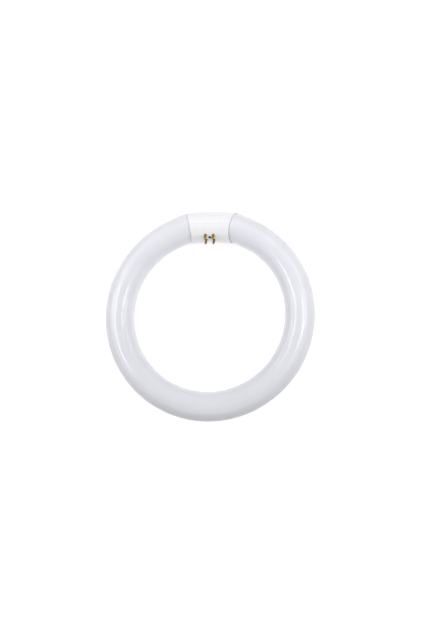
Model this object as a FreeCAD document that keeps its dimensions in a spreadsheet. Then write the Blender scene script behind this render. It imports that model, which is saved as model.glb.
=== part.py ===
"""Circular fluorescent tube: a ring of coated glass whose two ends meet in a moulded base with four pins.

The ring lies flat, its axis along Z. The base sits at +Y, with its pins leaning up from the ring's inside.
The origin is below the ring's centre, at the height of the lowest point of the base.
"""
import FreeCAD, Part
import math
import os
import Sketcher

# Driving dimensions, in millimetres and degrees
SIZES = (
    ("ring_radius", 90.5, "centreline radius of the bent glass"),
    ("tube_diameter", 29.0, "outer diameter of the glass"),
    ("straight_outside", 14.23, "from a rim of the base to where the glass starts to bend, along X"),
    ("shoulder_outside", 0.2, "from a rim of the base to where the glass starts to round off, along X"),
    ("shoulder_radius", 8.0, "rounding of the sealed glass end"),
    ("exhaust_tip_diameter", 5.0, "sealed exhaust tip on the glass end"),
    ("exhaust_tip_length", 4.5, "length of the exhaust tip"),
    ("base_step", 1.0, "how far the base stands out over the glass"),
    ("base_half_length", 23.3, "half the length of the base along its arched axis"),
    ("rim_offset", 0.4675, "how far the base's axis lies inside the glass's axis at a rim"),
    ("base_wall", 1.2, "wall of the base"),
    ("rim_lag", 6.537, "how far the turn of each rim about Z stays short of square to the glass"),
    ("rim_rake", 11.3, "lean of each rim, which makes the base shorter on its upper side"),
    ("rim_rounding", 0.35, "fillet on the outer edge of each rim"),
    ("seat_clearance", 0.15, "room between the glass and its seat in the base"),
    ("seam_gap", 0.12, "gap between the two half shells"),
    ("tongue_width", 8.0, "width of a snap tongue along the base"),
    ("tongue_thickness", 1.2, "thickness of a snap tongue"),
    ("tongue_reach", 3.5, "how far a tongue reaches into the other half shell"),
    ("tongue_clearance", 0.15, "room around a tongue and its barb"),
    ("barb_height", 0.7, "how far the barb stands out of its tongue"),
    ("barb_length", 1.4, "length of the barb along the tongue"),
    ("rib_offset", 9.0, "from the base's middle to each stiffening rib"),
    ("rib_thickness", 1.0, "thickness of a rib"),
    ("rib_height", 2.0, "how far a rib stands out of the wall"),
    ("pin_angle", 34.0, "lean of the pins out of the ring's plane"),
    ("pin_spacing_along", 7.92, "pin spacing along the base"),
    ("pin_spacing_across", 6.35, "pin spacing across the base"),
    ("pin_diameter", 2.35, "diameter of a pin"),
    ("pin_length", 6.35, "free length of a pin, from the crest of the base"),
    ("pin_nose_length", 2.2, "length of the rounded nose"),
    ("pin_nose_flat", 0.8, "diameter of the flat on the nose"),
    ("pin_fit", 0.02, "radial room of a pin in its hole"),
    ("pin_shank_diameter", 2.8, "diameter of the pin's shank, which fills its hole in the block"),
    ("pin_shank_sink", 0.3, "depth below the base's crest at which the shank starts to taper"),
    ("pin_taper_length", 0.4, "length of the taper from the shank down to the pin"),
    ("pin_head_diameter", 3.8, "diameter of the pin's head inside the base"),
    ("pin_head_thickness", 0.6, "thickness of that head"),
    ("pin_tail_diameter", 1.6, "diameter of the tail that takes the lead wire"),
    ("pin_tail_length", 1.8, "length of the tail"),
    ("pin_block_length", 13.0, "pin block, along the base"),
    ("pin_block_width", 11.0, "pin block, across the base"),
    ("pin_block_depth", 5.5, "from the crest of the base to the block's inner face"),
    ("key_hole_diameter", 3.2, "locating hole between the pins"),
    ("lead_diameter", 0.6, "diameter of a lead wire"),
    ("lead_spread", 9.0, "distance between the two lead wires where they leave the glass"),
    ("lead_stub", 3.0, "straight run of a lead wire at each end"),
)

# Lengths that several sub-parts share, as expressions of the sheet
TUBE_RADIUS = "Sizes.tube_diameter / 2"
BASE_RADIUS = "(Sizes.tube_diameter / 2 + Sizes.base_step)"
BORE_RADIUS = "(" + BASE_RADIUS + " - Sizes.base_wall)"
BASE_AXIS_Y = "(Sizes.ring_radius - Sizes.base_step)"
LIFT = BASE_RADIUS
BEND_X = "(Sizes.base_half_length + Sizes.straight_outside)"
BEND_Y = "sqrt(Sizes.ring_radius^2 - " + BEND_X + "^2)"
BEND_ANGLE = "asin(" + BEND_X + " / Sizes.ring_radius)"
RIM_GLASS_Y = "(" + BEND_Y + " + Sizes.straight_outside * tan(" + BEND_ANGLE + "))"
ARCH_RISE = "(" + BASE_AXIS_Y + " - " + RIM_GLASS_Y + " + Sizes.rim_offset)"
ARCH_RADIUS = "(Sizes.base_half_length^2 / (2 * " + ARCH_RISE + "))"
ARCH_CENTRE_Y = "(" + BASE_AXIS_Y + " - " + ARCH_RADIUS + ")"
STRAIGHT_LENGTH = "((Sizes.straight_outside - Sizes.shoulder_outside) / cos(" + BEND_ANGLE + "))"
RIM_TURN = "(Sizes.base_half_length / " + ARCH_RADIUS + " * 1rad)"
RIM_SPLAY = "(" + BEND_ANGLE + " - " + RIM_TURN + " - Sizes.rim_lag * 1deg)"
BLOCK_FACE = "(" + BASE_RADIUS + " - Sizes.pin_block_depth)"
TONGUE_FACE = "(sqrt(" + BORE_RADIUS + "^2 - Sizes.tongue_reach^2) - Sizes.tongue_clearance)"

STRAIGHT_END_FRAME = (
    "placement(vector(" + BEND_X + "; " + BEND_Y + "; 0); rotation(180deg - " + BEND_ANGLE + "; 0; 0))"
)
PIN_PLANE_FRAME = (
    "placement(vector(0; " + BASE_AXIS_Y + " - " + BLOCK_FACE + " * cos(Sizes.pin_angle * 1deg); "
    + BLOCK_FACE + " * sin(Sizes.pin_angle * 1deg)); rotation(0; 0; 90 - Sizes.pin_angle))"
)
# In the YZ plane's own frame, whose axes are Y, Z and X
RIM_FRAME = (
    "placement(vector(" + ARCH_CENTRE_Y + " + " + ARCH_RADIUS + " * cos(" + RIM_TURN + "); 0; "
    + ARCH_RADIUS + " * sin(" + RIM_TURN + ")); rotation(0; -" + RIM_SPLAY + "; -Sizes.rim_rake))"
)
# The YZ plane turned about the arch's centre until it stands at a rib
RIB_TURN = "(Sizes.rib_offset / " + ARCH_RADIUS + " * 1rad)"
RIB_FRAME = (
    "placement(vector(" + ARCH_CENTRE_Y + " * (1 - cos(" + RIB_TURN + ")); 0; "
    "-" + ARCH_CENTRE_Y + " * sin(" + RIB_TURN + ")); rotation(0; -" + RIB_TURN + "; 0))"
)

ORIGIN = (-1, 1)
SIDES = (("left", -1), ("right", 1))
LEVELS = (("lower", -1), ("upper", 1))


def make_sheet(doc):
    """Writes the driving dimensions into the spreadsheet."""
    sheet = doc.addObject("Spreadsheet::Sheet", "Sizes")
    for row, (alias, value, meaning) in enumerate(SIZES, start=1):
        sheet.set("A%d" % row, alias)
        sheet.set("B%d" % row, str(value))
        sheet.set("C%d" % row, meaning)
        sheet.setAlias("B%d" % row, alias)
    doc.recompute()
    return sheet


def make_body(doc, name):
    """Adds a body, lifted so that the base rests on the ground plane."""
    body = doc.addObject("PartDesign::Body", name)
    body.Label = name
    body.setExpression("Placement.Base.z", LIFT)
    return body


def origin_feature(body, role):
    """Finds one of the body's own origin planes or axes."""
    return next(feature for feature in body.Origin.OriginFeatures if feature.Role == role)


def add_sketch(body, name, role, frame=None):
    """Attaches a sketch to one of the body's origin planes, moved to a frame where one is given."""
    sketch = body.newObject("Sketcher::SketchObject", name)
    sketch.AttachmentSupport = [(origin_feature(body, role), "")]
    sketch.MapMode = "FlatFace"
    if frame:
        sketch.setExpression("AttachmentOffset", frame)
    return sketch


def measure(sketch, kind, places):
    """Reads what a dimension measures on the sketch as it is drawn."""
    if kind == "Radius":
        return sketch.Geometry[places[0]].Radius
    start, end = sketch.getPoint(*places[:2]), sketch.getPoint(*places[2:])
    return end.x - start.x if kind == "DistanceX" else end.y - start.y


def drive(sketch, kind, places, expression):
    """Adds a dimension whose value follows an expression of the sheet."""
    index = sketch.addConstraint(Sketcher.Constraint(kind, *places, measure(sketch, kind, places)))
    name = "size%d" % index
    sketch.renameConstraint(index, name)
    sketch.setExpression("Constraints." + name, expression)


def place_point(sketch, point, x, y):
    """Dimensions a point of the sketch from the sketch's origin."""
    drive(sketch, "DistanceX", ORIGIN + point, x)
    drive(sketch, "DistanceY", ORIGIN + point, y)


def join(sketch, first, second):
    """Makes two end points of the sketch coincide."""
    sketch.addConstraint(Sketcher.Constraint("Coincident", *first, *second))


def draw_polygon(sketch, corners):
    """Draws a closed polygon through corners that are given as pairs of expressions."""
    count = len(corners)
    rough = [FreeCAD.Vector(math.cos(2 * math.pi * i / count), math.sin(2 * math.pi * i / count), 0) * 10
             for i in range(count)]
    lines = [sketch.addGeometry(Part.LineSegment(rough[i], rough[(i + 1) % count])) for i in range(count)]
    for i in range(count):
        join(sketch, (lines[i], 2), (lines[(i + 1) % count], 1))
    for line, (x, y) in zip(lines, corners):
        place_point(sketch, (line, 1), x, y)


def draw_circle(sketch, x, y, radius):
    """Draws a circle with its centre and radius given as expressions."""
    circle = sketch.addGeometry(Part.Circle(FreeCAD.Vector(5, 5, 0), FreeCAD.Vector(0, 0, 1), 2))
    place_point(sketch, (circle, 3), x, y)
    drive(sketch, "Radius", (circle,), radius)


def draw_half_ring(sketch, side, inner_radius, outer_radius):
    """Draws the section of a half sleeve about the base's axis, on one side (+1 or -1) of the seam.

    The first geometry is the construction line that the base's arch turns about.
    """
    pivot_line = Part.LineSegment(FreeCAD.Vector(-150, -10, 0), FreeCAD.Vector(-150, 10, 0))
    pivot = sketch.addGeometry(pivot_line, True)
    sketch.addConstraint(Sketcher.Constraint("Vertical", pivot))
    place_point(sketch, (pivot, 1), ARCH_CENTRE_Y, "-" + BASE_RADIUS)
    drive(sketch, "DistanceY", (pivot, 1, pivot, 2), "2 * " + BASE_RADIUS)
    centre = FreeCAD.Vector(90, 0, 0)
    start = -math.pi / 2 if side > 0 else math.pi / 2
    arcs = []
    for rough_radius, radius in ((14, inner_radius), (16, outer_radius)):
        circle = Part.Circle(centre, FreeCAD.Vector(0, 0, 1), rough_radius)
        arc = sketch.addGeometry(Part.ArcOfCircle(circle, start, start + math.pi))
        drive(sketch, "Radius", (arc,), radius)
        arcs.append(arc)
    inner, outer = arcs
    join(sketch, (inner, 3), (outer, 3))
    place_point(sketch, (inner, 3), BASE_AXIS_Y, "0")
    for end in (1, 2):
        line = sketch.addGeometry(Part.LineSegment(FreeCAD.Vector(90, 14, 0), FreeCAD.Vector(90, 16, 0)))
        join(sketch, (line, 1), (inner, end))
        join(sketch, (line, 2), (outer, end))
        for arc in arcs:
            drive(sketch, "DistanceX", (arc, 3, arc, end), "%d * Sizes.seam_gap / 2" % side)


def draw_outline(sketch, corners, rough, rounded, arc):
    """Draws a closed outline of lines and one arc, which runs from the corner numbered rounded to the next.

    Corners are pairs of expressions, and rough holds points near them. The arc starts level with its centre.
    """
    vectors = [FreeCAD.Vector(x, y, 0) for x, y in rough]
    edges = [Part.LineSegment(start, end) for start, end in zip(vectors, vectors[1:] + vectors[:1])]
    edges[rounded] = arc
    edges = [sketch.addGeometry(edge) for edge in edges]
    for edge, following in zip(edges, edges[1:] + edges[:1]):
        join(sketch, (edge, 2), (following, 1))
    for edge, (x, y) in zip(edges, corners):
        place_point(sketch, (edge, 1), x, y)
    sketch.addConstraint(Sketcher.Constraint("Horizontal", edges[rounded], 3, edges[rounded], 1))


def draw_straight_end(sketch, gap, with_tip):
    """Draws half the section of a straight glass end along the sketch's X axis, grown by a gap."""
    face_x = STRAIGHT_LENGTH + " + Sizes.shoulder_radius + " + gap
    shoulder_y = TUBE_RADIUS + " - Sizes.shoulder_radius"
    tip_x, tip_y = face_x + " + Sizes.exhaust_tip_length", "Sizes.exhaust_tip_diameter / 2"
    around_tip = [(tip_x, "0"), (tip_x, tip_y), (face_x, tip_y)] if with_tip else [(face_x, "0")]
    rough_tip = [(28, 0), (28, 2), (23, 2)] if with_tip else [(23, 0)]
    round_off = [(face_x, shoulder_y), (STRAIGHT_LENGTH, TUBE_RADIUS + " + " + gap)]
    corners = [("0", "0")] + around_tip + round_off + [("0", TUBE_RADIUS + " + " + gap)]
    rough = [(0, 0)] + rough_tip + [(23, 6), (15, 14), (0, 14)]
    round_circle = Part.Circle(FreeCAD.Vector(15, 6, 0), FreeCAD.Vector(0, 0, 1), 8)
    shoulder = Part.ArcOfCircle(round_circle, 0, math.pi / 2)
    draw_outline(sketch, corners, rough, corners.index(round_off[0]), shoulder)


def turn(body, kind, name, sketch, axis, angle):
    """Adds a Revolution or a Groove of a sketch, evenly to both sides of it."""
    feature = body.newObject("PartDesign::" + kind, name)
    feature.Profile = sketch
    feature.ReferenceAxis = (sketch, [axis])
    feature.Midplane = True
    feature.setExpression("Angle", angle)
    sketch.Visibility = False
    return feature


def extrude(body, kind, name, sketch, length, midplane=False, reverse=False):
    """Adds a Pad or a Pocket of a sketch."""
    feature = body.newObject("PartDesign::" + kind, name)
    feature.Profile = sketch
    feature.Midplane = midplane
    feature.Reversed = reverse
    feature.setExpression("Length", length)
    sketch.Visibility = False
    return feature


def mirror(body, name, originals, role):
    """Mirrors features of a body in one of its origin planes."""
    feature = body.newObject("PartDesign::Mirrored", name)
    feature.Originals = originals
    feature.MirrorPlane = (origin_feature(body, role), [""])
    body.Tip = feature
    return feature


def must_change(doc, body, before, sign, name):
    """Recomputes and makes sure that a feature added (+1) or removed (-1) material."""
    doc.recompute()
    after = body.Shape.Volume
    if (after - before) * sign <= 0:
        raise RuntimeError("%s left the volume at %.3f, from %.3f" % (name, after, before))
    return after


def make_glass_tube(doc):
    """The sealed tube: a bent run and two straight ends that round off to a sealed face and exhaust tip."""
    body = make_body(doc, "glass_tube")
    section = add_sketch(body, "tube_section", "YZ_Plane")
    draw_circle(section, "-Sizes.ring_radius", "0", TUBE_RADIUS)
    turn(body, "Revolution", "bent_run", section, "V_Axis", "360deg - 2 * " + BEND_ANGLE)
    profile = add_sketch(body, "end_profile", "XY_Plane", STRAIGHT_END_FRAME)
    draw_straight_end(profile, "0", with_tip=True)
    end = turn(body, "Revolution", "straight_end", profile, "H_Axis", "360")
    mirror(body, "other_end", [end], "YZ_Plane")
    return body


def add_sleeve(doc, body, side):
    """The half sleeve on one side of the seam, cut to its leaning rims and to the seats of the glass."""
    section = add_sketch(body, "sleeve_section", "YZ_Plane")
    draw_half_ring(section, side, BORE_RADIUS, BASE_RADIUS)
    sweep = "2 * (Sizes.base_half_length + " + BASE_RADIUS + ") / " + ARCH_RADIUS + " * 1rad"
    turn(body, "Revolution", "sleeve", section, "Axis0", sweep)
    doc.recompute()
    volume = body.Shape.Volume
    cut = add_sketch(body, "rim_plane", "YZ_Plane", RIM_FRAME)
    reach = "2 * " + BASE_RADIUS
    draw_polygon(cut, [(a + reach, b + reach) for a, b in (("-", "-"), ("", "-"), ("", ""), ("-", ""))])
    rim = extrude(body, "Pocket", "rim_cut", cut, reach, reverse=True)
    volume = must_change(doc, body, volume, -1, "rim_cut")
    profile = add_sketch(body, "seat_profile", "XY_Plane", STRAIGHT_END_FRAME)
    draw_straight_end(profile, "Sizes.seat_clearance", with_tip=False)
    seat = turn(body, "Groove", "glass_seat", profile, "H_Axis", "360")
    volume = must_change(doc, body, volume, -1, "glass_seat")
    mirror(body, "other_rim", [rim, seat], "YZ_Plane")
    must_change(doc, body, volume, -1, "other_rim")


def add_ribs(doc, body, side):
    """Two half hoops that stiffen the sleeve."""
    volume = body.Shape.Volume
    section = add_sketch(body, "rib_section", "YZ_Plane", RIB_FRAME)
    inner, outer = BORE_RADIUS + " - Sizes.rib_height", BORE_RADIUS + " + Sizes.base_wall / 2"
    draw_half_ring(section, side, inner, outer)
    rib = extrude(body, "Pad", "rib", section, "Sizes.rib_thickness")
    mirror(body, "other_rib", [rib], "YZ_Plane")
    must_change(doc, body, volume, 1, "ribs")


def tongue_corners():
    """Section of a snap tongue with its barb, as pairs of expressions in Y and Z."""
    back = TONGUE_FACE + " - Sizes.tongue_thickness"
    peak = TONGUE_FACE + " + Sizes.barb_height"
    tip = BASE_AXIS_Y + " - Sizes.tongue_reach"
    middle = TONGUE_FACE + " - Sizes.tongue_thickness / 2"
    root = BASE_AXIS_Y + " + sqrt(" + BORE_RADIUS + "^2 - (" + middle + ")^2)"
    return [
        (tip, back),
        (tip, TONGUE_FACE),
        (tip + " + Sizes.barb_length / 3", peak),
        (tip + " + Sizes.barb_length", peak),
        (tip + " + Sizes.barb_length", TONGUE_FACE),
        (root, TONGUE_FACE),
        (root, back),
    ]


def make_outer_shell(doc):
    """The half shell on the ring's outside, which carries the two snap tongues."""
    body = make_body(doc, "base_outer_shell")
    add_sleeve(doc, body, 1)
    add_ribs(doc, body, 1)
    volume = body.Shape.Volume
    section = add_sketch(body, "tongue_section", "YZ_Plane")
    draw_polygon(section, tongue_corners())
    tongue = extrude(body, "Pad", "tongue", section, "Sizes.tongue_width", midplane=True)
    mirror(body, "other_tongue", [tongue], "XY_Plane")
    must_change(doc, body, volume, 1, "tongues")
    round_rims(doc, body)
    return body


def add_pin_block(doc, body):
    """The block that holds the pins, trimmed flush with the outside, with its pin and locating holes."""
    volume = body.Shape.Volume
    outline = add_sketch(body, "pin_block_outline", "XY_Plane", PIN_PLANE_FRAME)
    x, y = "Sizes.pin_block_length / 2", "Sizes.pin_block_width / 2"
    draw_polygon(outline, [("-" + x, "-" + y), (x, "-" + y), (x, y), ("-" + x, y)])
    extrude(body, "Pad", "pin_block", outline, "Sizes.pin_block_depth + Sizes.base_step")
    volume = must_change(doc, body, volume, 1, "pin_block")
    skin = add_sketch(body, "outside_section", "YZ_Plane")
    draw_half_ring(skin, -1, BASE_RADIUS, BASE_RADIUS + " + Sizes.pin_block_depth")
    sweep = "2 * Sizes.pin_block_length / " + ARCH_RADIUS + " * 1rad"
    turn(body, "Groove", "outside_trim", skin, "Axis0", sweep)
    volume = must_change(doc, body, volume, -1, "outside_trim")
    holes = add_sketch(body, "hole_plan", "XY_Plane", PIN_PLANE_FRAME)
    for _, across in LEVELS:
        for _, along in SIDES:
            hole_x = "%d * Sizes.pin_spacing_along / 2" % along
            hole_y = "%d * Sizes.pin_spacing_across / 2" % across
            draw_circle(holes, hole_x, hole_y, "Sizes.pin_shank_diameter / 2 + Sizes.pin_fit")
    draw_circle(holes, "0", "0", "Sizes.key_hole_diameter / 2")
    extrude(body, "Pocket", "pin_holes", holes, "2 * Sizes.pin_block_depth", reverse=True)
    must_change(doc, body, volume, -1, "pin_holes")


def add_latch_recesses(doc, body):
    """The recesses in the wall that the barbs of the tongues snap into."""
    volume = body.Shape.Volume
    section = add_sketch(body, "latch_section", "YZ_Plane")
    low = BASE_AXIS_Y + " - Sizes.tongue_reach - Sizes.tongue_clearance"
    high = BASE_AXIS_Y + " - Sizes.tongue_reach + Sizes.barb_length + Sizes.tongue_clearance"
    deep = TONGUE_FACE + " + Sizes.barb_height + Sizes.tongue_clearance"
    draw_polygon(section, [(low, TONGUE_FACE), (high, TONGUE_FACE), (high, deep), (low, deep)])
    width = "Sizes.tongue_width + 2 * Sizes.tongue_clearance"
    recess = extrude(body, "Pocket", "latch_recess", section, width, midplane=True)
    mirror(body, "other_recess", [recess], "XY_Plane")
    must_change(doc, body, volume, -1, "latch_recesses")


def make_inner_shell(doc):
    """The half shell on the ring's inside, which carries the pins."""
    body = make_body(doc, "base_inner_shell")
    add_sleeve(doc, body, -1)
    add_ribs(doc, body, -1)
    add_pin_block(doc, body)
    add_latch_recesses(doc, body)
    round_rims(doc, body)
    return body


def glass_bend(sheet):
    """X and Y of the point where the bend of the glass ends, and the slope of the straight end there."""
    bend_x = sheet.base_half_length + sheet.straight_outside
    bend = math.asin(bend_x / sheet.ring_radius)
    return bend_x, sheet.ring_radius * math.cos(bend), bend


def rim_edges(shape, sheet):
    """Names the edges where the outside of a half shell meets its rims, away from the seam and the pins."""
    radius = sheet.tube_diameter / 2 + sheet.base_step
    axis_y = sheet.ring_radius - sheet.base_step
    _, bend_y, bend = glass_bend(sheet)
    rise = axis_y - bend_y - sheet.straight_outside * math.tan(bend) + sheet.rim_offset
    arch_radius = sheet.base_half_length**2 / (2 * rise)
    arch_centre = FreeCAD.Vector(0, axis_y - arch_radius, 0)
    names = []
    for number, edge in enumerate(shape.Edges, start=1):
        middle = edge.valueAt((edge.FirstParameter + edge.LastParameter) / 2) - arch_centre
        along = math.atan2(middle.x, middle.y) * arch_radius
        outward = math.hypot(middle.x, middle.y) - arch_radius
        on_skin = abs(math.hypot(outward, middle.z) - radius) < radius * 1e-3
        if on_skin and abs(along) > sheet.base_half_length / 2 and abs(outward) > radius / 2:
            names.append("Edge%d" % number)
    return names


def round_rims(doc, body):
    """Rounds the outer edges of the rims."""
    volume = body.Shape.Volume
    base = body.Tip
    fillet = body.newObject("PartDesign::Fillet", "rim_fillet")
    fillet.Base = (base, rim_edges(base.Shape, doc.Sizes))
    fillet.setExpression("Radius", "Sizes.rim_rounding")
    must_change(doc, body, volume, -1, "rim_fillet")


def make_pin(doc, level, across, side, along):
    """A brass pin: a rounded nose, a thicker shank in the block, a head and a tail for its lead wire."""
    body = make_body(doc, "contact_pin_%s_%s" % (level, side))
    sketch = add_sketch(body, "pin_profile", "XZ_Plane")
    total = "(Sizes.pin_block_depth + Sizes.pin_length)"
    radius, tail = "Sizes.pin_diameter / 2", "Sizes.pin_tail_diameter / 2"
    head, head_low = "Sizes.pin_head_diameter / 2", "-Sizes.pin_head_thickness"
    shank, taper_low = "Sizes.pin_shank_diameter / 2", "(Sizes.pin_block_depth - Sizes.pin_shank_sink)"
    nose_start = (radius, total + " - Sizes.pin_nose_length")
    corners = [
        ("0", head_low + " - Sizes.pin_tail_length"),
        (tail, head_low + " - Sizes.pin_tail_length"),
        (tail, head_low),
        (head, head_low),
        (head, "0"),
        (shank, "0"),
        (shank, taper_low),
        (radius, taper_low + " + Sizes.pin_taper_length"),
        nose_start,
        ("Sizes.pin_nose_flat / 2", total),
        ("0", total),
    ]
    rough = [(0, -2), (1, -2), (1, -1), (2, -1), (2, 0), (1.4, 0), (1.4, 5), (1.2, 5.5)]
    rough += [(1.2, 10), (0.4, 12), (0, 12)]
    nose_circle = Part.Circle(FreeCAD.Vector(-2, 10, 0), FreeCAD.Vector(0, 0, 1), 3)
    nose = Part.ArcOfCircle(nose_circle, 0, math.pi / 4)
    draw_outline(sketch, corners, rough, corners.index(nose_start), nose)
    turn(body, "Revolution", "pin_turned", sketch, "V_Axis", "360")
    body.setExpression("Placement", pin_frame(along, across))
    return body


def pin_frame(along, across):
    """Placement of a pin whose head lies on the block's inner face, at one corner of the pin pattern."""
    lean = "Sizes.pin_angle * 1deg"
    depth = BLOCK_FACE
    shift = "%d * Sizes.pin_spacing_across / 2" % across
    x = "%d * Sizes.pin_spacing_along / 2" % along
    y = BASE_AXIS_Y + " - " + depth + " * cos(" + lean + ") + " + shift + " * sin(" + lean + ")"
    z = LIFT + " + " + depth + " * sin(" + lean + ") + " + shift + " * cos(" + lean + ")"
    return "placement(vector(" + "; ".join((x, y, z)) + "); rotation(0; 0; 90 - Sizes.pin_angle))"


def rounded_path(points):
    """Straight runs joined by tangent arcs, as large as the shorter run at each bend allows."""
    edges = []
    start = points[0]
    for before, corner, after in zip(points, points[1:], points[2:]):
        back, forth = before - corner, after - corner
        half_turn = (math.pi - back.getAngle(forth)) / 2
        reach = 0.45 * min(back.Length, forth.Length)
        radius = reach / math.tan(half_turn)
        back.normalize()
        forth.normalize()
        bisector = (back + forth).normalize()
        to_middle = radius / math.cos(half_turn) - radius
        arc_start, arc_end = corner + back * reach, corner + forth * reach
        edges.append(Part.LineSegment(start, arc_start).toShape())
        edges.append(Part.Arc(arc_start, corner + bisector * to_middle, arc_end).toShape())
        start = arc_end
    edges.append(Part.LineSegment(start, points[-1]).toShape())
    return Part.Wire(edges)


def make_lead(doc, level, across, side, along):
    """A lead wire from the sealed glass end to the tail of its pin."""
    sheet = doc.Sizes
    bend_x, bend_y, bend = glass_bend(sheet)
    lean = math.radians(sheet.pin_angle)
    radius = sheet.lead_diameter / 2
    straight = (sheet.straight_outside - sheet.shoulder_outside) / math.cos(bend)
    inward = FreeCAD.Vector(-along * math.cos(bend), math.sin(bend), 0)
    seal = FreeCAD.Vector(along * bend_x, bend_y, across * sheet.lead_spread / 2)
    seal += inward * (straight + sheet.shoulder_radius)
    outward = FreeCAD.Vector(0, -math.cos(lean), math.sin(lean))
    sideways = FreeCAD.Vector(0, math.sin(lean), math.cos(lean))
    depth = sheet.tube_diameter / 2 + sheet.base_step - sheet.pin_block_depth
    depth -= sheet.pin_head_thickness + sheet.pin_tail_length
    tail = FreeCAD.Vector(along * sheet.pin_spacing_along / 2, sheet.ring_radius - sheet.base_step, 0)
    tail += outward * depth + sideways * (across * sheet.pin_spacing_across / 2)
    path = rounded_path([seal, seal + inward * sheet.lead_stub, tail - outward * sheet.lead_stub, tail])
    profile = Part.Wire(Part.Circle(seal, inward, radius).toShape())
    shape = path.makePipeShell([profile], True, False)
    expected = math.pi * radius**2 * path.Length
    if abs(shape.Volume - expected) > 0.02 * expected:
        raise RuntimeError("lead wire volume %.4f, expected %.4f" % (shape.Volume, expected))
    lead = doc.addObject("Part::Feature", "lead_wire_%s_%s" % (level, side))
    lead.Label = lead.Name
    lead.Shape = shape
    lead.setExpression("Placement.Base.z", LIFT)
    return lead


def check(doc, sub_parts):
    """Stops on any failed object and on any sub-part that is not one valid solid."""
    for item in doc.Objects:
        if "Invalid" in item.State or "Error" in item.State:
            raise RuntimeError("%s failed: %s" % (item.Name, item.State))
    for part in sub_parts:
        shape = part.Shape
        if shape.isNull() or not shape.isValid() or len(shape.Solids) != 1:
            raise RuntimeError("%s is not one valid solid" % part.Label)


def main():
    doc = FreeCAD.newDocument("circular_fluorescent_tube")
    make_sheet(doc)
    sub_parts = [make_glass_tube(doc), make_outer_shell(doc), make_inner_shell(doc)]
    for level, across in LEVELS:
        for side, along in SIDES:
            sub_parts.append(make_pin(doc, level, across, side, along))
            sub_parts.append(make_lead(doc, level, across, side, along))
    doc.recompute()
    check(doc, sub_parts)
    os.makedirs("parts", exist_ok=True)
    for part in sub_parts:
        part.Shape.exportStep(os.path.join("parts", part.Label + ".step"))
        print("%-26s %9.2f mm3" % (part.Label, part.Shape.Volume))


main()
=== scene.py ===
"""Looks of a ring-shaped fluorescent lamp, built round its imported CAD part. Lengths are in metres."""
import math

import bmesh
import bpy
from mathutils import Matrix, Vector


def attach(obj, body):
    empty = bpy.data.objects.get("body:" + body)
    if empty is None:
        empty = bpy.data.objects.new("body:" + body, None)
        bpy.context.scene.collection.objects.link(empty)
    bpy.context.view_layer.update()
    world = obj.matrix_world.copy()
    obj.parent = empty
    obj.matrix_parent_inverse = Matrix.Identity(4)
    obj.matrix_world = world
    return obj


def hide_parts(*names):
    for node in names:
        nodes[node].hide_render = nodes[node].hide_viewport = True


MM = 0.001

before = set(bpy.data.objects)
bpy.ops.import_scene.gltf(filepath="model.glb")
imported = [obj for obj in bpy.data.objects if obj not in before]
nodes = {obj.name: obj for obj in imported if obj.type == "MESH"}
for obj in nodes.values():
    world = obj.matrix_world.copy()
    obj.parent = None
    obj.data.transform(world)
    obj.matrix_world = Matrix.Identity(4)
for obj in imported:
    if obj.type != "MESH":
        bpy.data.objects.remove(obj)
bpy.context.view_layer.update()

# Sizes of the glass, as in the CAD source
RING_RADIUS = 90.5 * MM
TUBE_RADIUS = 14.5 * MM
LIFT = 15.5 * MM
BEND_X = 37.53 * MM
SHOULDER_X = 23.5 * MM
SHOULDER_RADIUS = 8 * MM
TIP_RADIUS = 2.5 * MM
TIP_LENGTH = 4.5 * MM

# Rings of the exhaust tip as (distance, share of its radius): back from its end, then out from the glass
TIP_NOSE = ((0, 0.02), (0.1 * MM, 0.6), (0.6 * MM, 0.92), (1.4 * MM, 1))
TIP_FOOT = ((0.6 * MM, 1), (0.1 * MM, 1.12), (0, 1.4))

# Steps of the glass mesh along its stretches and round the tube
SHOULDER_STEPS = 12
STRAIGHT_STEPS = 6
BEND_STEPS = 320
ROUND_STEPS = 72

# Point inside the locating hole, and the distances from it over which the shade painted into the hole ends
BASE_AXIS_Y = 89.5 * MM
PIN_LEAN = math.radians(34)
HOLE_REACH = 12.6 * MM
HOLE_POINT = (0, BASE_AXIS_Y - HOLE_REACH * math.cos(PIN_LEAN), LIFT + HOLE_REACH * math.sin(PIN_LEAN))
HOLE_PAINTED_SHADE = (2.45 * MM, 2.80 * MM)

# Half the floor's width
FLOOR_REACH = 6.0

# For the rays that see the background white: the floor's albedo, and its glow as (span of the distance
# from the origin, span of the strength)
SEEN_ALBEDO = 0.5
SEEN_GLOW = ((0.2, 0.9), (0.69, 1.0))

# For the other rays: the floor's albedo as (span of Y, span of the albedo), lowered towards -Y as painted
# shade under the lower limb, its glow inside the ring as above, painted light for the tube's inner sides,
# and the world's strength
OTHER_SHADED_ALBEDO = ((-0.24, -0.09), (0.30, 0.95))
OTHER_PAINTED_GLOW = ((0.02, 0.085), (0.72, 0.0))
OTHER_WORLD = 0.02

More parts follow.
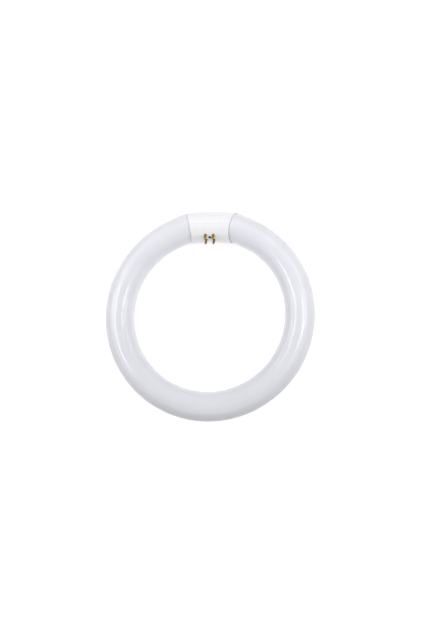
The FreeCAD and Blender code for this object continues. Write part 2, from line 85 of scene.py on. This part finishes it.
# Soft panels over the lamp: name, X span, Y span, height, radiance
PANELS = (
    ("left_wide", (-7.43, -2.90), (-1.8, 1.5), 3.0, 1.68),
    ("left_outer", (-2.52, -2.18), (-0.4, 0.3), 3.0, 7.80),
    ("left_core", (-1.88, -1.60), (-0.4, 0.3), 3.0, 19.0),
    ("left_strip", (-2.18, -1.34), (0.3, 1.0), 3.0, 6.80),
    ("left_middle", (-1.34, -0.86), (0.3, 1.0), 3.0, 2.70),
    ("left_fill", (-0.9, -0.4), (0.0, 0.5), 0.45, 2.15),
    ("right_wide", (2.90, 7.43), (-1.8, 1.5), 3.0, 1.50),
    ("right_low", (1.10, 2.90), (-1.8, -0.4), 3.0, 1.54),
    ("right_outer", (1.88, 2.52), (0.3, 1.0), 3.0, 3.95),
    ("right_edge", (2.52, 2.90), (-0.4, 0.3), 3.0, 9.50),
    ("right_core", (1.60, 2.18), (-0.4, 0.3), 3.0, 13.0),
    ("right_strip", (1.60, 1.88), (0.3, 1.0), 3.0, 12.5),
    ("right_middle", (1.09, 1.34), (0.3, 1.0), 3.0, 3.55),
    ("right_fill", (0.4, 0.9), (0.0, 0.5), 0.45, 2.25),
    ("near_side", (-3.0, 3.0), (-6.0, -3.0), 3.0, 1.42),
    ("over_the_base", (-0.5, 0.5), (0.22, 0.5), 0.35, 0.96),
)

# Camera, turned about the ring's axis and leaning to the right of it and below it, with its sensor and
# lens in millimetres and its shift as a share of the frame
CAMERA_TURN = math.radians(2.05)
CAMERA_YAW = math.radians(9.93)
CAMERA_PITCH = math.radians(8.49)
CAMERA_DISTANCE = 0.87884
SENSOR_WIDTH = 36
LENS = 50.548
SHIFT_X, SHIFT_Y = 0.0031, -0.0008
CLIP_START, CLIP_END = 0.05, 20

scene = bpy.context.scene


# Nodes

def material(name):
    """A new node material: (material, its node tree, its Principled shader)."""
    made = bpy.data.materials.new(name)
    made.use_nodes = True
    tree = made.node_tree
    return made, tree, tree.nodes["Principled BSDF"]


def node(tree, kind, **values):
    """Adds a node. Inputs are given by socket name and the other values are the node's own."""
    made = tree.nodes.new(kind)
    for key, value in values.items():
        if key in made.inputs:
            made.inputs[key].default_value = value
        else:
            setattr(made, key, value)
    return made


def noise(tree, scale, detail=2.0, roughness=0.5):
    """A noise texture in object coordinates, in features per metre."""
    place = node(tree, "ShaderNodeTexCoord")
    texture = node(tree, "ShaderNodeTexNoise", Scale=scale, Detail=detail, Roughness=roughness)
    tree.links.new(place.outputs["Object"], texture.inputs["Vector"])
    return texture.outputs["Fac"]


def distance_from(tree, point):
    """The distance from a point, in object coordinates."""
    place = node(tree, "ShaderNodeTexCoord")
    made = node(tree, "ShaderNodeVectorMath", operation="DISTANCE")
    made.inputs[1].default_value = point
    tree.links.new(place.outputs["Object"], made.inputs[0])
    return made.outputs["Value"]


def ramp(tree, source, stops):
    """A colour ramp over a value, from (place, colour) pairs."""
    made = node(tree, "ShaderNodeValToRGB")
    elements = made.color_ramp.elements
    while len(elements) < len(stops):
        elements.new(0.5)
    for element, (place, colour) in zip(elements, stops):
        element.position = place
        element.color = (*colour, 1)
    tree.links.new(source, made.inputs["Fac"])
    return made.outputs["Color"]


def span(tree, source, before, after, kind="SMOOTHSTEP"):
    """Maps a value that runs over one (low, high) pair to another, and holds it beyond the ends."""
    made = node(tree, "ShaderNodeMapRange", interpolation_type=kind)
    made.inputs["From Min"].default_value, made.inputs["From Max"].default_value = before
    made.inputs["To Min"].default_value, made.inputs["To Max"].default_value = after
    tree.links.new(source, made.inputs["Value"])
    return made.outputs["Result"]


def uneven_roughness(tree, shader, source, low, high):
    """Lets a shader's roughness vary with a noise, whose values mostly lie between 0.3 and 0.7."""
    tree.links.new(span(tree, source, (0.3, 0.7), (low, high), "LINEAR"), shader.inputs["Roughness"])


def bump(tree, shader, source, distance, strength, below=None):
    """Bumps a shader by a value, on top of another bump if one is given."""
    made = node(tree, "ShaderNodeBump", Strength=strength, Distance=distance)
    tree.links.new(source, made.inputs["Height"])
    if below is not None:
        tree.links.new(below, made.inputs["Normal"])
    tree.links.new(made.outputs["Normal"], shader.inputs["Normal"])
    return made.outputs["Normal"]


# Materials of the lamp

def coated_glass():
    """Clear glossy glass over a white powder coating whose thickness varies a little."""
    made, tree, shader = material("coated_glass")
    clouds = noise(tree, 38, detail=3, roughness=0.55)
    colour = ramp(tree, clouds, ((0.30, (0.765, 0.766, 0.826)), (0.70, (0.795, 0.796, 0.852))))
    tree.links.new(colour, shader.inputs["Base Color"])
    uneven_roughness(tree, shader, noise(tree, 120), 0.50, 0.62)
    waves = bump(tree, shader, noise(tree, 45, detail=1), 0.03 * MM, 0.5)
    bump(tree, shader, noise(tree, 2600), 0.004 * MM, 0.35, below=waves)
    shader.inputs["Specular IOR Level"].default_value = 0.05
    shader.inputs["Coat Weight"].default_value = 0.75
    shader.inputs["Coat Roughness"].default_value = 0.09
    shader.inputs["Coat IOR"].default_value = 1.47
    return made


def white_plastic():
    """Semi-gloss white moulding with a fine grain and uneven shades, with shade painted inside the
    locating hole.
    """
    made, tree, shader = material("white_plastic")
    patches = noise(tree, 60, detail=4)
    colour = ramp(tree, patches, ((0.32, (0.868, 0.862, 0.890)), (0.68, (0.900, 0.898, 0.925))))
    outside = span(tree, distance_from(tree, HOLE_POINT), HOLE_PAINTED_SHADE, (0, 1))
    # Painted shade: the base colour turns near black inside the locating hole
    hole = node(tree, "ShaderNodeMix", data_type="RGBA")
    hole.inputs["A"].default_value = (0.018, 0.012, 0.010, 1)
    tree.links.new(colour, hole.inputs["B"])
    tree.links.new(outside, hole.inputs["Factor"])
    tree.links.new(hole.outputs["Result"], shader.inputs["Base Color"])
    uneven_roughness(tree, shader, noise(tree, 300, detail=3), 0.30, 0.40)
    grain = bump(tree, shader, noise(tree, 3200, detail=3), 0.012 * MM, 0.5)
    bump(tree, shader, noise(tree, 90, detail=1), 0.05 * MM, 0.4, below=grain)
    shader.inputs["Specular IOR Level"].default_value = 0.45
    return made


def pin_brass():
    """Turned brass with a fine grain, dulled and stained in patches."""
    made, tree, shader = material("pin_brass")
    stains = noise(tree, 900, detail=5, roughness=0.6)
    stops = (
        (0.30, (0.130, 0.058, 0.007)),
        (0.50, (0.250, 0.128, 0.026)),
        (0.72, (0.430, 0.262, 0.075)),
    )
    tree.links.new(ramp(tree, stains, stops), shader.inputs["Base Color"])
    uneven_roughness(tree, shader, noise(tree, 700, detail=4), 0.22, 0.48)
    bump(tree, shader, noise(tree, 5200, detail=3), 0.01 * MM, 0.5)
    shader.inputs["Metallic"].default_value = 1.0
    return made


def lead_metal():
    """Tinned wire, grey and slightly uneven."""
    made, tree, shader = material("lead_metal")
    stops = ((0.3, (0.42, 0.41, 0.40)), (0.7, (0.60, 0.59, 0.57)))
    tree.links.new(ramp(tree, noise(tree, 2000, detail=3), stops), shader.inputs["Base Color"])
    uneven_roughness(tree, shader, noise(tree, 1500), 0.28, 0.45)
    bump(tree, shader, noise(tree, 6000), 0.008 * MM, 0.4)
    shader.inputs["Metallic"].default_value = 1.0
    return made


# Glass

def end_profile(straight):
    """(distance past the bend, radius) along a straight end of the glass, from its exhaust tip back."""
    face = straight + SHOULDER_RADIUS
    tip_end = face + TIP_LENGTH
    profile = [(tip_end - back, share * TIP_RADIUS) for back, share in TIP_NOSE]
    profile += [(face + out, share * TIP_RADIUS) for out, share in TIP_FOOT]
    for step in range(SHOULDER_STEPS + 1):
        turn = math.pi / 2 * step / SHOULDER_STEPS
        radius = TUBE_RADIUS - SHOULDER_RADIUS + SHOULDER_RADIUS * math.sin(turn)
        profile.append((straight + SHOULDER_RADIUS * math.cos(turn), radius))
    for step in range(1, STRAIGHT_STEPS):
        profile.append((straight * (1 - step / STRAIGHT_STEPS), TUBE_RADIUS))
    return profile


def glass_stations():
    """(centre, direction, radius) of each ring of the glass mesh, from one exhaust tip to the other."""
    bend = math.asin(BEND_X / RING_RADIUS)
    start = Vector((BEND_X, RING_RADIUS * math.cos(bend), LIFT))
    along = Vector((math.cos(bend), -math.sin(bend), 0))
    straight = (BEND_X - SHOULDER_X) / math.cos(bend)
    right_end = [(start - along * reach, along, radius) for reach, radius in end_profile(straight)]
    stations = list(right_end)
    for step in range(BEND_STEPS + 1):
        turn = math.pi / 2 - bend - (2 * math.pi - 2 * bend) * step / BEND_STEPS
        centre = Vector((RING_RADIUS * math.cos(turn), RING_RADIUS * math.sin(turn), LIFT))
        direction = Vector((math.sin(turn), -math.cos(turn), 0))
        stations.append((centre, direction, TUBE_RADIUS))
    for centre, direction, radius in reversed(right_end):
        mirrored = Vector((-centre.x, centre.y, centre.z))
        stations.append((mirrored, Vector((direction.x, -direction.y, 0)), radius))
    return stations


def make_glass(finish):
    """The closed glass mesh, replacing the CAD's with smoother curvature."""
    mesh = bpy.data.meshes.new("glass_ring")
    work = bmesh.new()
    rings = []
    for centre, direction, radius in glass_stations():
        side = Vector((direction.y, -direction.x, 0)).normalized()
        ring = []
        for step in range(ROUND_STEPS):
            turn = 2 * math.pi * step / ROUND_STEPS
            place = centre + side * (radius * math.cos(turn)) + Vector((0, 0, radius * math.sin(turn)))
            ring.append(work.verts.new(place))
        rings.append(ring)
    for first, second in zip(rings, rings[1:]):
        for step in range(ROUND_STEPS):
            following = (step + 1) % ROUND_STEPS
            work.faces.new((first[step], first[following], second[following], second[step]))
    work.faces.new(rings[0])
    work.faces.new(rings[-1])
    bmesh.ops.recalc_face_normals(work, faces=work.faces)
    work.to_mesh(mesh)
    work.free()
    for polygon in mesh.polygons:
        polygon.use_smooth = True
    made = bpy.data.objects.new("glass_ring", mesh)
    scene.collection.objects.link(made)
    mesh.materials.append(finish)
    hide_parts("glass_tube")
    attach(made, "root")


# Stage

def split_rays(tree, others, white, output):
    """Gives one shader to camera, glossy and transmission rays, which see the background white.

    The other rays get the other shader.
    """
    light_path = node(tree, "ShaderNodeLightPath")
    seen = light_path.outputs["Is Camera Ray"]
    for name in ("Is Glossy Ray", "Is Transmission Ray"):
        larger = node(tree, "ShaderNodeMath", operation="MAXIMUM")
        tree.links.new(seen, larger.inputs[0])
        tree.links.new(light_path.outputs[name], larger.inputs[1])
        seen = larger.outputs[0]
    mix = node(tree, "ShaderNodeMixShader")
    tree.links.new(seen, mix.inputs["Fac"])
    tree.links.new(others.outputs[0], mix.inputs[1])
    tree.links.new(white.outputs[0], mix.inputs[2])
    tree.links.new(mix.outputs[0], tree.nodes[output].inputs["Surface"])


def floor_finish():
    """White with the lamp's shadow for the rays that see the background white.

    For the other rays it is darker under the lower limb, as painted shade, and glows a little inside the
    ring, as painted light.
    """
    made, tree, others = material("floor")
    from_origin = distance_from(tree, (0, 0, 0))
    place = node(tree, "ShaderNodeTexCoord")
    parts = node(tree, "ShaderNodeSeparateXYZ")
    tree.links.new(place.outputs["Object"], parts.inputs["Vector"])
    # Painted shade: the floor's albedo falls towards -Y, under the lower limb
    tree.links.new(span(tree, parts.outputs["Y"], *OTHER_SHADED_ALBEDO), others.inputs["Base Color"])
    # Painted light: the floor glows inside the ring, brightening the tube's inner sides
    tree.links.new(span(tree, from_origin, *OTHER_PAINTED_GLOW), others.inputs["Emission Strength"])
    others.inputs["Emission Color"].default_value = (1, 1, 1, 1)
    others.inputs["Roughness"].default_value = 0.9
    others.inputs["Specular IOR Level"].default_value = 0.1

    shadowed = node(tree, "ShaderNodeBsdfDiffuse", Color=(SEEN_ALBEDO, SEEN_ALBEDO, SEEN_ALBEDO, 1))
    glow = node(tree, "ShaderNodeEmission", Color=(1, 1, 1, 1))
    tree.links.new(span(tree, from_origin, *SEEN_GLOW), glow.inputs["Strength"])
    white = node(tree, "ShaderNodeAddShader")
    tree.links.new(shadowed.outputs[0], white.inputs[0])
    tree.links.new(glow.outputs[0], white.inputs[1])
    split_rays(tree, others, white, "Material Output")
    return made


def make_stage():
    """Pale floor under the lamp."""
    mesh = bpy.data.meshes.new("floor")
    corners = [(x, y, 0) for x, y in ((-1, -1), (1, -1), (1, 1), (-1, 1))]
    mesh.from_pydata([Vector(corner) * FLOOR_REACH for corner in corners], [], [(0, 1, 2, 3)])
    mesh.materials.append(floor_finish())
    floor = bpy.data.objects.new("floor", mesh)
    scene.collection.objects.link(floor)


def make_world():
    """Faint even light from all round, seen white by the camera and in reflections."""
    world = bpy.data.worlds.new("surroundings")
    scene.world = world
    world.use_nodes = True
    tree = world.node_tree
    others = tree.nodes["Background"]
    others.inputs["Color"].default_value = (1, 1, 1, 1)
    others.inputs["Strength"].default_value = OTHER_WORLD
    white = node(tree, "ShaderNodeBackground", Color=(1, 1, 1, 1), Strength=1.0)
    split_rays(tree, others, white, "World Output")


def add_panel(name, x_span, y_span, height, radiance):
    """A soft panel that hangs level over the lamp and shines straight down."""
    data = bpy.data.lights.new(name, "AREA")
    data.shape = "RECTANGLE"
    data.size = x_span[1] - x_span[0]
    data.size_y = y_span[1] - y_span[0]
    data.energy = radiance * math.pi * data.size * data.size_y
    made = bpy.data.objects.new(name, data)
    scene.collection.objects.link(made)
    made.location = ((x_span[0] + x_span[1]) / 2, (y_span[0] + y_span[1]) / 2, height)


def make_camera():
    """The photograph's view: nearly along the ring's axis, from below and right of it."""
    level = math.cos(CAMERA_PITCH)
    outward = Vector((math.sin(CAMERA_YAW) * level, -math.sin(CAMERA_PITCH), math.cos(CAMERA_YAW) * level))
    right = Vector((0, 1, 0)).cross(outward).normalized()
    up = outward.cross(right)
    turn = Matrix.Rotation(CAMERA_TURN, 3, "Z")
    data = bpy.data.cameras.new("camera")
    data.sensor_width = SENSOR_WIDTH
    data.lens = LENS
    data.shift_x, data.shift_y = SHIFT_X, SHIFT_Y
    data.clip_start, data.clip_end = CLIP_START, CLIP_END
    camera = bpy.data.objects.new("camera", data)
    scene.collection.objects.link(camera)
    axes = Matrix((turn @ right, turn @ up, turn @ outward)).transposed().to_4x4()
    axes.translation = turn @ outward * CAMERA_DISTANCE + Vector((0, 0, LIFT))
    camera.matrix_world = axes
    scene.camera = camera


scene.view_settings.view_transform = "Standard"
make_camera()
make_world()
make_stage()
for panel in PANELS:
    add_panel(*panel)

# Finishes by the first words of the nodes' names
finishes = {
    "glass_tube": coated_glass(),
    "base": white_plastic(),
    "contact_pin": pin_brass(),
    "lead_wire": lead_metal(),
}
make_glass(finishes["glass_tube"])
for name, obj in nodes.items():
    finish = next(made for start, made in finishes.items() if name.startswith(start))
    for slot in obj.material_slots:
        slot.material = finish
    if not obj.material_slots:
        obj.data.materials.append(finish)
